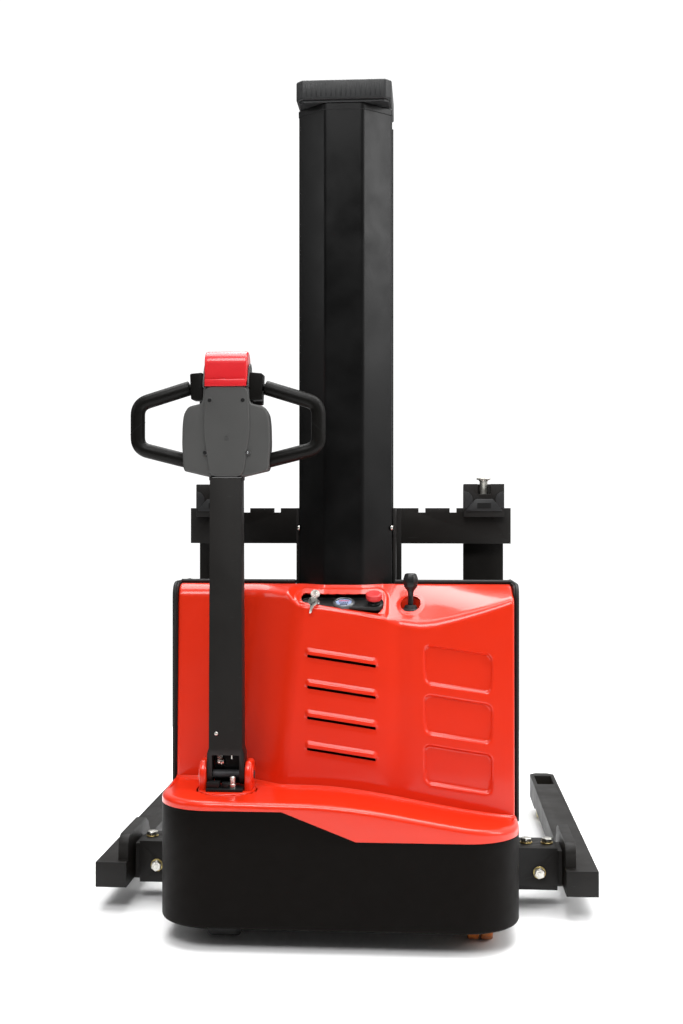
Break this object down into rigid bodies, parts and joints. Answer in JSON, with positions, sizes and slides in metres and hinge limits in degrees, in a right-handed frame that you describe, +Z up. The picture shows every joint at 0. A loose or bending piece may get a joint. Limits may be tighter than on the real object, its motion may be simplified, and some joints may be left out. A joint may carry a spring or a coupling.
{
  "type": "walkie stacker",
  "caption": "Pedestrian-steered electric stacker with a single mast, sliding forks on a carriage, straddle legs and an upright tiller.",
  "frame": {"origin": "on the floor, midway between the two straddle legs and midway between the skirt's front and the fork tips", "axes": "+Z up along the mast, +Y from the tiller towards the fork tips, +X to the right of the person who steers"},
  "size_m": [1.19, 1.62, 1.97],
  "materials": {
    "red_paint": "gloss",
    "black_paint": "satin powder coat",
    "black_plastic": "matte",
    "grey_plastic": "fine texture",
    "red_plastic": "semi gloss",
    "black_rubber": "matte",
    "drive_tyre": "matte",
    "amber_tyre": "semi gloss",
    "cream_tyre": "semi gloss",
    "zinc": "zinc plated",
    "bare_steel": "machined",
    "cast_iron": "painted casting",
    "battery_case": "moulded",
    "gauge_glass": "clear face"
  },
  "bodies": {
    "chassis": {"chassis_frame": "black_paint", "skirt": "black_plastic", "shelf_cover": "red_paint", "front_cover": "red_paint", "slew_ring": "bare_steel", "leg_bolt_left_rear_inner": "zinc", "leg_bolt_left_rear_outer": "zinc", "leg_bolt_left_front": "zinc", "leg_bolt_right_rear_inner": "zinc", "leg_bolt_right_rear_outer": "zinc", "leg_bolt_right_front": "zinc", "battery_left": "battery_case", "battery_right": "battery_case", "hydraulic_unit": "cast_iron", "motor_controller": "bare_steel", "console_tray": "black_plastic", "battery_gauge": "gauge_glass", "lever_boot": "black_rubber", "mast_column": "black_paint", "mast_cover": "black_paint", "mast_cap": "black_plastic", "lift_cylinder": "black_paint"},
    "drive_unit": {"steering_bracket": "cast_iron", "drive_motor": "bare_steel", "tiller_yoke": "red_paint", "tiller_pin": "zinc"},
    "drive_wheel": {"drive_wheel": "drive_tyre"},
    "tiller": {"tiller_arm": "black_paint", "gas_spring": "bare_steel", "head_back_shell": "grey_plastic", "head_front_shell": "grey_plastic", "loop_handle_left": "black_rubber", "loop_handle_right": "black_rubber"},
    "belly_button": {"belly_button": "red_plastic"},
    "throttle": {"throttle": "black_plastic"},
    "lift_button": {"lift_button": "black_plastic"},
    "lower_button": {"lower_button": "black_plastic"},
    "horn_button": {"horn_button": "black_plastic"},
    "emergency_stop": {"emergency_stop": "red_plastic"},
    "key": {"key": "zinc"},
    "lift_lever": {"lift_lever": "black_plastic"},
    "caster_fork": {"caster_fork": "zinc"},
    "caster_wheel": {"caster_wheel": "amber_tyre"},
    "lift_ram": {"piston_rod": "bare_steel", "crosshead": "cast_iron", "lift_chain": "bare_steel"},
    "chain_pulley": {"chain_pulley": "bare_steel"},
    "carriage": {"carriage": "black_paint"},
    "roller_left_lower": {"mast_roller_left_lower": "bare_steel"},
    "roller_left_upper": {"mast_roller_left_upper": "bare_steel"},
    "roller_right_lower": {"mast_roller_right_lower": "bare_steel"},
    "roller_right_upper": {"mast_roller_right_upper": "bare_steel"},
    "fork_left": {"fork_left": "black_paint"},
    "fork_right": {"fork_right": "black_paint"},
    "fork_pin_left": {"fork_pin_left": "zinc"},
    "fork_pin_right": {"fork_pin_right": "zinc"},
    "leg_left": {"leg_left": "black_paint"},
    "leg_right": {"leg_right": "black_paint"},
    "load_wheel_left": {"load_wheel_left": "cream_tyre"},
    "load_wheel_right": {"load_wheel_right": "cream_tyre"}
  },
  "joints": [
    {"name": "carriage_lift", "type": "slide", "parent": "chassis", "child": "carriage", "axis": [0, 0, 1], "range_m": [-0.42, 0.88]},
    {"name": "ram_lift", "type": "slide", "parent": "chassis", "child": "lift_ram", "axis": [0, 0, 1], "range_m": [-0.21, 0.44], "deforming": ["lift_chain"]},
    {"name": "pulley_spin", "type": "hinge", "parent": "lift_ram", "child": "chain_pulley", "pos_m": [0, -0.423, 1.42], "axis": [1, 0, 0], "continuous": true},
    {"name": "roller_left_lower_spin", "type": "hinge", "parent": "carriage", "child": "roller_left_lower", "pos_m": [-0.089, -0.423, 0.66], "axis": [1, 0, 0], "continuous": true},
    {"name": "roller_left_upper_spin", "type": "hinge", "parent": "carriage", "child": "roller_left_upper", "pos_m": [-0.089, -0.423, 0.9], "axis": [1, 0, 0], "continuous": true},
    {"name": "roller_right_lower_spin", "type": "hinge", "parent": "carriage", "child": "roller_right_lower", "pos_m": [0.089, -0.423, 0.66], "axis": [1, 0, 0], "continuous": true},
    {"name": "roller_right_upper_spin", "type": "hinge", "parent": "carriage", "child": "roller_right_upper", "pos_m": [0.089, -0.423, 0.9], "axis": [1, 0, 0], "continuous": true},
    {"name": "fork_left_slide", "type": "slide", "parent": "carriage", "child": "fork_left", "axis": [1, 0, 0], "range_m": [-0.008, 0.14]},
    {"name": "fork_right_slide", "type": "slide", "parent": "carriage", "child": "fork_right", "axis": [1, 0, 0], "range_m": [-0.14, 0.008]},
    {"name": "fork_pin_left_lift", "type": "slide", "parent": "fork_left", "child": "fork_pin_left", "axis": [0, 0, 1], "range_m": [0, 0.02]},
    {"name": "fork_pin_right_lift", "type": "slide", "parent": "fork_right", "child": "fork_pin_right", "axis": [0, 0, 1], "range_m": [0, 0.02]},
    {"name": "steer_swivel", "type": "hinge", "parent": "chassis", "child": "drive_unit", "pos_m": [-0.256, -0.68, 0.2], "axis": [0, 0, 1], "range_deg": [-55, 55]},
    {"name": "drive_wheel_spin", "type": "hinge", "parent": "drive_unit", "child": "drive_wheel", "pos_m": [-0.256, -0.68, 0.1], "axis": [1, 0, 0], "continuous": true},
    {"name": "tiller_tilt", "type": "hinge", "parent": "drive_unit", "child": "tiller", "pos_m": [-0.256, -0.68, 0.36], "axis": [1, 0, 0], "range_deg": [0, 78], "stiffness_Nm_per_rad": 45, "springref_deg": -22.92},
    {"name": "belly_button_press", "type": "slide", "parent": "tiller", "child": "belly_button", "axis": [0, 0, -1], "range_m": [0, 0.005], "stiffness_N_per_m": 800},
    {"name": "throttle_turn", "type": "hinge", "parent": "tiller", "child": "throttle", "pos_m": [-0.256, -0.612, 1.224], "axis": [1, 0, 0], "range_deg": [-25, 25], "stiffness_Nm_per_rad": 0.5},
    {"name": "lift_button_press", "type": "slide", "parent": "tiller", "child": "lift_button", "axis": [0, -1, 0], "range_m": [0, 0.003], "stiffness_N_per_m": 400},
    {"name": "lower_button_press", "type": "slide", "parent": "tiller", "child": "lower_button", "axis": [0, -1, 0], "range_m": [0, 0.003], "stiffness_N_per_m": 400},
    {"name": "horn_button_press", "type": "slide", "parent": "tiller", "child": "horn_button", "axis": [0, -1, 0], "range_m": [0, 0.003], "stiffness_N_per_m": 400},
    {"name": "emergency_stop_press", "type": "slide", "parent": "chassis", "child": "emergency_stop", "axis": [0, 0.3746, -0.9272], "range_m": [0, 0.006]},
    {"name": "key_turn", "type": "hinge", "parent": "chassis", "child": "key", "pos_m": [-0.062, -0.59429, 0.7415], "axis": [0, -0.3746, 0.9272], "range_deg": [0, 90]},
    {"name": "lift_lever_tilt", "type": "hinge", "parent": "chassis", "child": "lift_lever", "pos_m": [0.158, -0.578, 0.728], "axis": [1, 0, 0], "range_deg": [-12, 12], "stiffness_Nm_per_rad": 3},
    {"name": "caster_swivel", "type": "hinge", "parent": "chassis", "child": "caster_fork", "pos_m": [0.314, -0.692, 0.1], "axis": [0, 0, 1], "continuous": true},
    {"name": "caster_spin", "type": "hinge", "parent": "caster_fork", "child": "caster_wheel", "pos_m": [0.314, -0.676, 0.045], "axis": [1, 0, 0], "continuous": true},
    {"name": "leg_left_widen", "type": "slide", "parent": "chassis", "child": "leg_left", "axis": [-1, 0, 0], "range_m": [0, 0.08]},
    {"name": "leg_right_widen", "type": "slide", "parent": "chassis", "child": "leg_right", "axis": [1, 0, 0], "range_m": [0, 0.08]},
    {"name": "load_wheel_left_spin", "type": "hinge", "parent": "leg_left", "child": "load_wheel_left", "pos_m": [-0.5575, 0.452, 0.045], "axis": [1, 0, 0], "continuous": true},
    {"name": "load_wheel_right_spin", "type": "hinge", "parent": "leg_right", "child": "load_wheel_right", "pos_m": [0.5575, 0.452, 0.045], "axis": [1, 0, 0], "continuous": true}
  ],
  "couplings": [
    {"joint": "ram_lift", "follows": "carriage_lift", "ratio": 0.5},
    {"joint": "pulley_spin", "follows": "carriage_lift", "rad_per_m": 15},
    {"joint": "roller_left_lower_spin", "follows": "carriage_lift", "rad_per_m": 21.55},
    {"joint": "roller_left_upper_spin", "follows": "carriage_lift", "rad_per_m": -21.55},
    {"joint": "roller_right_lower_spin", "follows": "carriage_lift", "rad_per_m": 21.55},
    {"joint": "roller_right_upper_spin", "follows": "carriage_lift", "rad_per_m": -21.55}
  ]
}
